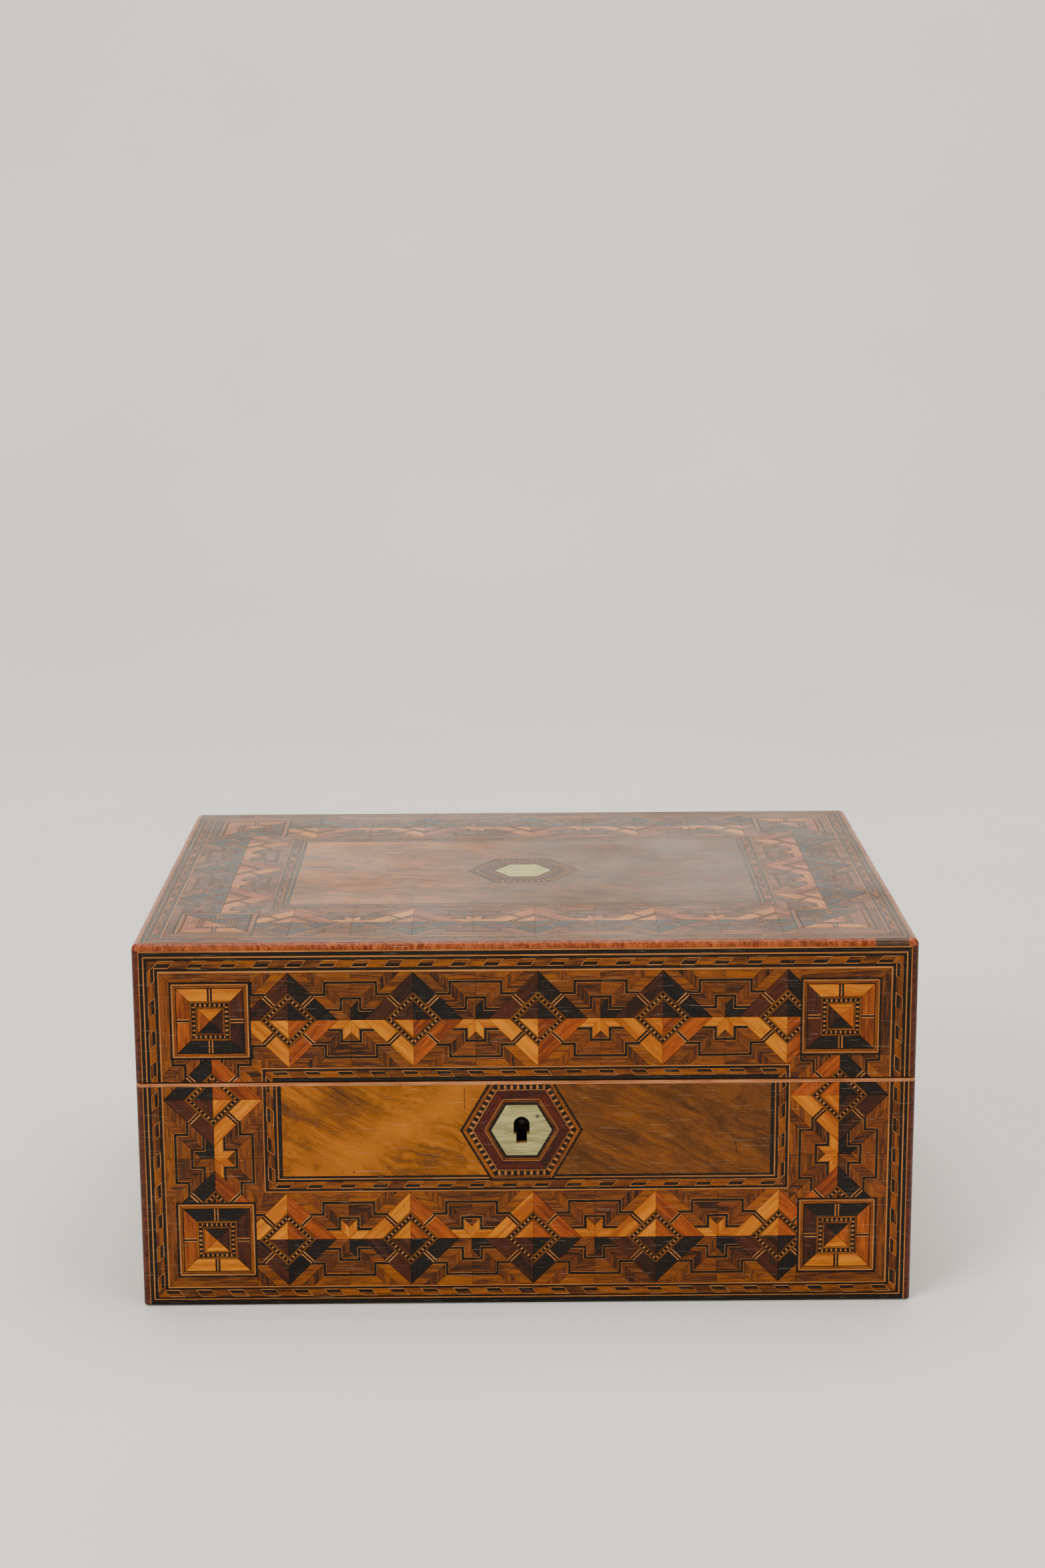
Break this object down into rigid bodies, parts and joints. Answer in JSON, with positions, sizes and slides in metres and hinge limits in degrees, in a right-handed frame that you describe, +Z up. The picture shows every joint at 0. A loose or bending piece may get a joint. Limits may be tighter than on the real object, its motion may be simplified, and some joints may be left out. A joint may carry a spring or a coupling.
{
  "type": "inlaid wooden box",
  "caption": "Rectangular wooden box faced with geometric parquetry, with a hinged lid, mother-of-pearl hexagons, a keyhole and lock, and a lined well.",
  "frame": {"origin": "centre of the underside, on the surface that the box stands on", "axes": "+X to the box's right, the front with the keyhole faces -Y, +Z up"},
  "size_m": [0.305, 0.2308, 0.149],
  "materials": {
    "parquetry": "french polished",
    "carcass": "bare planed pine and mahogany",
    "edge_strip": "french polished",
    "patch": "worn polish",
    "rim_facing": "satin polish",
    "pearl": "polished shell",
    "brass": "aged polish",
    "steel": "satin",
    "baize": "worn wool cloth",
    "lining": "satin polish",
    "velvet": "cut pile",
    "silk": "quilted satin"
  },
  "bodies": {
    "base": {"base_front_board": "carcass", "base_back_board": "carcass", "base_left_board": "carcass", "base_right_board": "carcass", "base_bottom_board": "carcass", "base_front_veneer": "parquetry", "base_back_veneer": "parquetry", "base_left_veneer": "parquetry", "base_right_veneer": "parquetry", "base_corner_strips": "edge_strip", "base_rim_facing": "rim_facing", "underside_baize": "baize", "keyhole_surround": "parquetry", "keyhole_plate": "pearl", "lock_plate": "brass", "lock_screws": "brass", "lock_drill_pin": "steel", "lock_top_plate": "brass", "lock_spring": "steel", "hinge_base_leaves": "brass", "hinge_base_screws": "brass", "hinge_pins": "steel", "lining_front": "lining", "lining_back": "lining", "lining_left": "lining", "lining_right": "lining", "floor_pad": "velvet"},
    "lid": {"lid_front_board": "carcass", "lid_back_board": "carcass", "lid_left_board": "carcass", "lid_right_board": "carcass", "lid_top_board": "carcass", "lid_front_veneer": "parquetry", "lid_back_veneer": "parquetry", "lid_left_veneer": "parquetry", "lid_right_veneer": "parquetry", "lid_top_veneer": "parquetry", "lid_corner_strips": "edge_strip", "lid_front_strip": "edge_strip", "lid_back_strip": "edge_strip", "lid_left_strip": "edge_strip", "lid_right_strip": "edge_strip", "lid_strip_patch": "patch", "lid_plaque": "pearl", "plaque_surround": "parquetry", "link_plate": "brass", "link_staples": "brass", "link_screws": "brass", "hinge_lid_leaves": "brass", "hinge_lid_screws": "brass", "lid_pad_frame": "lining", "lid_pad": "silk"},
    "bolt": {"lock_bolt": "brass"}
  },
  "joints": [
    {"name": "lid_hinge", "type": "hinge", "parent": "base", "child": "lid", "pos_m": [0, 0.1146, 0.093], "axis": [-1, 0, 0], "range_deg": [0, 100]},
    {"name": "bolt_slide", "type": "slide", "parent": "base", "child": "bolt", "axis": [1, 0, 0], "range_m": [0, 0.0045]}
  ]
}
